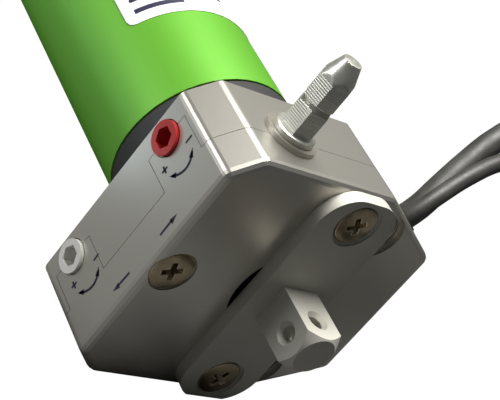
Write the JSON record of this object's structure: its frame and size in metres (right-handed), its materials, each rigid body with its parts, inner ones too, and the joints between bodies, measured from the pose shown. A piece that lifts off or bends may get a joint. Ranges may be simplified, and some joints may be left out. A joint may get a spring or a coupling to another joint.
{
  "type": "roller shutter motor",
  "caption": "Tubular roller shutter motor with die-cast head, square mounting stud, manual override spindle, limit adjusters, crown ring, drive wheel and two coiled leads.",
  "frame": {"origin": "on the motor's axis at the front plane of the head, behind the mounting plate", "axes": "+X along the motor's axis out of the stud, +Z along the override spindle, -Y out of the face with the limit adjusters"},
  "size_m": [0.695, 0.1406, 0.0827],
  "materials": {
    "die_cast": "sand-blasted zinc die casting, light warm grey",
    "plate_steel": "cast steel plate, satin, edges worn bright",
    "nickel_screws": "nickel plated",
    "zinc_spindle": "bright zinc plated with fine cross serration",
    "bush_steel": "turned steel",
    "black_plastic": "moulded glass-filled nylon",
    "grommet_rubber": "soft rubber",
    "grey_plastic": "moulded",
    "gear_brass": "turned brass",
    "red_plastic": "moulded acetal",
    "white_plastic": "moulded acetal",
    "blue_plastic": "moulded",
    "bright_steel": "ground steel",
    "green_paint": "satin powder coat",
    "label_film": "printed film, print left out",
    "cast_aluminium": "die cast",
    "lamination": "stacked electrical steel",
    "copper": "enamelled copper wire",
    "brake_steel": "blackened steel",
    "gear_nylon": "moulded acetal",
    "wheel_nylon": "glass-filled nylon",
    "lead_sheath": "PVC sheath, satin",
    "core_blue": "PVC cores with tinned ferrules",
    "core_brown": "PVC cores with tinned ferrules"
  },
  "bodies": {
    "motor_body": {"rear_housing": "die_cast", "front_cover": "die_cast", "cover_screws": "nickel_screws", "mounting_plate": "plate_steel", "plate_screws": "nickel_screws", "centre_cap": "black_plastic", "power_grommet": "grommet_rubber", "control_grommet": "grommet_rubber", "terminal_block": "grey_plastic", "spindle_bush": "bush_steel", "limit_frame": "black_plastic", "outer_tube": "green_paint", "tube_screws": "nickel_screws", "rating_label": "label_film", "capacitor": "grey_plastic", "front_shield": "cast_aluminium", "rear_shield": "cast_aluminium", "motor_bearings": "bright_steel", "stator_core": "lamination", "stator_windings": "copper", "brake_magnet": "brake_steel", "brake_spring": "bright_steel", "gear_housing": "cast_aluminium", "end_plug": "black_plastic", "power_lead": "lead_sheath", "power_lead_coil": "lead_sheath", "power_lead_end": "core_blue", "control_lead": "lead_sheath", "control_lead_coil": "lead_sheath", "control_lead_end": "core_brown", "coil_ties": "black_plastic"},
    "crown": {"crown_ring": "black_plastic"},
    "traverse_screw_set": {"traverse_screw": "bright_steel"},
    "traverse_nut_set": {"traverse_nut": "white_plastic"},
    "up_adjuster_set": {"up_adjuster": "red_plastic"},
    "down_adjuster_set": {"down_adjuster": "white_plastic"},
    "up_screw_set": {"up_adjusting_screw": "gear_brass"},
    "down_screw_set": {"down_adjusting_screw": "gear_brass"},
    "up_carriage_set": {"up_switch_carriage": "blue_plastic"},
    "down_carriage_set": {"down_switch_carriage": "blue_plastic"},
    "override_input": {"override_spindle": "zinc_spindle", "override_worm": "gear_brass"},
    "override_train": {"override_wheel": "gear_brass", "override_shaft": "bright_steel"},
    "rotor": {"rotor_core": "lamination", "rotor_shaft": "bright_steel", "brake_disc": "brake_steel"},
    "armature": {"brake_armature": "brake_steel"},
    "carrier1": {"stage1_carrier": "bright_steel"},
    "output": {"output_shaft": "bright_steel", "drive_wheel": "wheel_nylon", "wheel_circlip": "bright_steel"},
    "planet11": {"stage1_planet_1": "gear_nylon"},
    "planet12": {"stage1_planet_2": "gear_nylon"},
    "planet13": {"stage1_planet_3": "gear_nylon"},
    "planet21": {"stage2_planet_1": "gear_nylon"},
    "planet22": {"stage2_planet_2": "gear_nylon"},
    "planet23": {"stage2_planet_3": "gear_nylon"}
  },
  "joints": [
    {"name": "crown_spin", "type": "hinge", "parent": "motor_body", "child": "crown", "pos_m": [0, 0, 0], "axis": [1, 0, 0], "range_deg": [-1080, 1080]},
    {"name": "traverse_screw_spin", "type": "hinge", "parent": "motor_body", "child": "traverse_screw_set", "pos_m": [0, -0.016, 0], "axis": [1, 0, 0], "range_deg": [-5401, 5401]},
    {"name": "traverse_nut_travel", "type": "slide", "parent": "motor_body", "child": "traverse_nut_set", "axis": [1, 0, 0], "range_m": [-0.00751, 0.00751]},
    {"name": "up_limit_adjust", "type": "hinge", "parent": "motor_body", "child": "up_adjuster_set", "pos_m": [-0.0192, -0.036, 0.0172], "axis": [0, 1, 0], "range_deg": [-1080, 1080]},
    {"name": "up_screw_spin", "type": "hinge", "parent": "motor_body", "child": "up_screw_set", "pos_m": [0, -0.01386, 0.008], "axis": [1, 0, 0], "range_deg": [-749, 749]},
    {"name": "up_switch_travel", "type": "slide", "parent": "motor_body", "child": "up_carriage_set", "axis": [1, 0, 0], "range_m": [-0.00207, 0.00207]},
    {"name": "down_limit_adjust", "type": "hinge", "parent": "motor_body", "child": "down_adjuster_set", "pos_m": [-0.0192, -0.036, -0.0172], "axis": [0, 1, 0], "range_deg": [-1080, 1080]},
    {"name": "down_screw_spin", "type": "hinge", "parent": "motor_body", "child": "down_screw_set", "pos_m": [0, -0.01386, -0.008], "axis": [1, 0, 0], "range_deg": [-749, 749]},
    {"name": "down_switch_travel", "type": "slide", "parent": "motor_body", "child": "down_carriage_set", "axis": [1, 0, 0], "range_m": [-0.00207, 0.00207]},
    {"name": "override_train_spin", "type": "hinge", "parent": "motor_body", "child": "override_train", "pos_m": [0, 0, 0], "axis": [1, 0, 0], "continuous": true},
    {"name": "override_spindle_spin", "type": "hinge", "parent": "motor_body", "child": "override_input", "pos_m": [-0.011, -0.0177, 0], "axis": [0, 0, 1], "continuous": true},
    {"name": "rotor_spin", "type": "hinge", "parent": "motor_body", "child": "rotor", "pos_m": [0, 0, 0], "axis": [1, 0, 0], "continuous": true},
    {"name": "carrier1_spin", "type": "hinge", "parent": "motor_body", "child": "carrier1", "pos_m": [0, 0, 0], "axis": [1, 0, 0], "continuous": true},
    {"name": "output_spin", "type": "hinge", "parent": "motor_body", "child": "output", "pos_m": [0, 0, 0], "axis": [1, 0, 0], "continuous": true},
    {"name": "planet11_spin", "type": "hinge", "parent": "carrier1", "child": "planet11", "pos_m": [0, 0.00891, 0.00514], "axis": [1, 0, 0], "continuous": true},
    {"name": "planet12_spin", "type": "hinge", "parent": "carrier1", "child": "planet12", "pos_m": [0, -0.00891, 0.00514], "axis": [1, 0, 0], "continuous": true},
    {"name": "planet13_spin", "type": "hinge", "parent": "carrier1", "child": "planet13", "pos_m": [0, 0, -0.01029], "axis": [1, 0, 0], "continuous": true},
    {"name": "planet21_spin", "type": "hinge", "parent": "output", "child": "planet21", "pos_m": [0, 0.00891, 0.00514], "axis": [1, 0, 0], "continuous": true},
    {"name": "planet22_spin", "type": "hinge", "parent": "output", "child": "planet22", "pos_m": [0, -0.00891, 0.00514], "axis": [1, 0, 0], "continuous": true},
    {"name": "planet23_spin", "type": "hinge", "parent": "output", "child": "planet23", "pos_m": [0, 0, -0.01029], "axis": [1, 0, 0], "continuous": true},
    {"name": "brake_release", "type": "slide", "parent": "motor_body", "child": "armature", "axis": [1, 0, 0], "range_m": [0, 0.0004]}
  ],
  "couplings": [
    {"joint": "traverse_screw_spin", "follows": "crown_spin", "ratio": 5},
    {"joint": "traverse_nut_travel", "follows": "crown_spin", "m_per_rad": 0.00039789},
    {"joint": "up_screw_spin", "follows": "up_switch_travel", "rad_per_m": 6283.2},
    {"joint": "up_limit_adjust", "follows": "up_switch_travel", "rad_per_m": -9075.7},
    {"joint": "down_screw_spin", "follows": "down_switch_travel", "rad_per_m": 6283.2},
    {"joint": "down_limit_adjust", "follows": "down_switch_travel", "rad_per_m": -9075.7},
    {"joint": "override_spindle_spin", "follows": "override_train_spin", "ratio": 20},
    {"joint": "carrier1_spin", "follows": "rotor_spin", "ratio": 0.125},
    {"joint": "output_spin", "follows": "rotor_spin", "ratio": 0.015625},
    {"joint": "planet11_spin", "follows": "rotor_spin", "ratio": -0.29167},
    {"joint": "planet12_spin", "follows": "rotor_spin", "ratio": -0.29167},
    {"joint": "planet13_spin", "follows": "rotor_spin", "ratio": -0.29167},
    {"joint": "planet21_spin", "follows": "rotor_spin", "ratio": -0.036458},
    {"joint": "planet22_spin", "follows": "rotor_spin", "ratio": -0.036458},
    {"joint": "planet23_spin", "follows": "rotor_spin", "ratio": -0.036458}
  ]
}
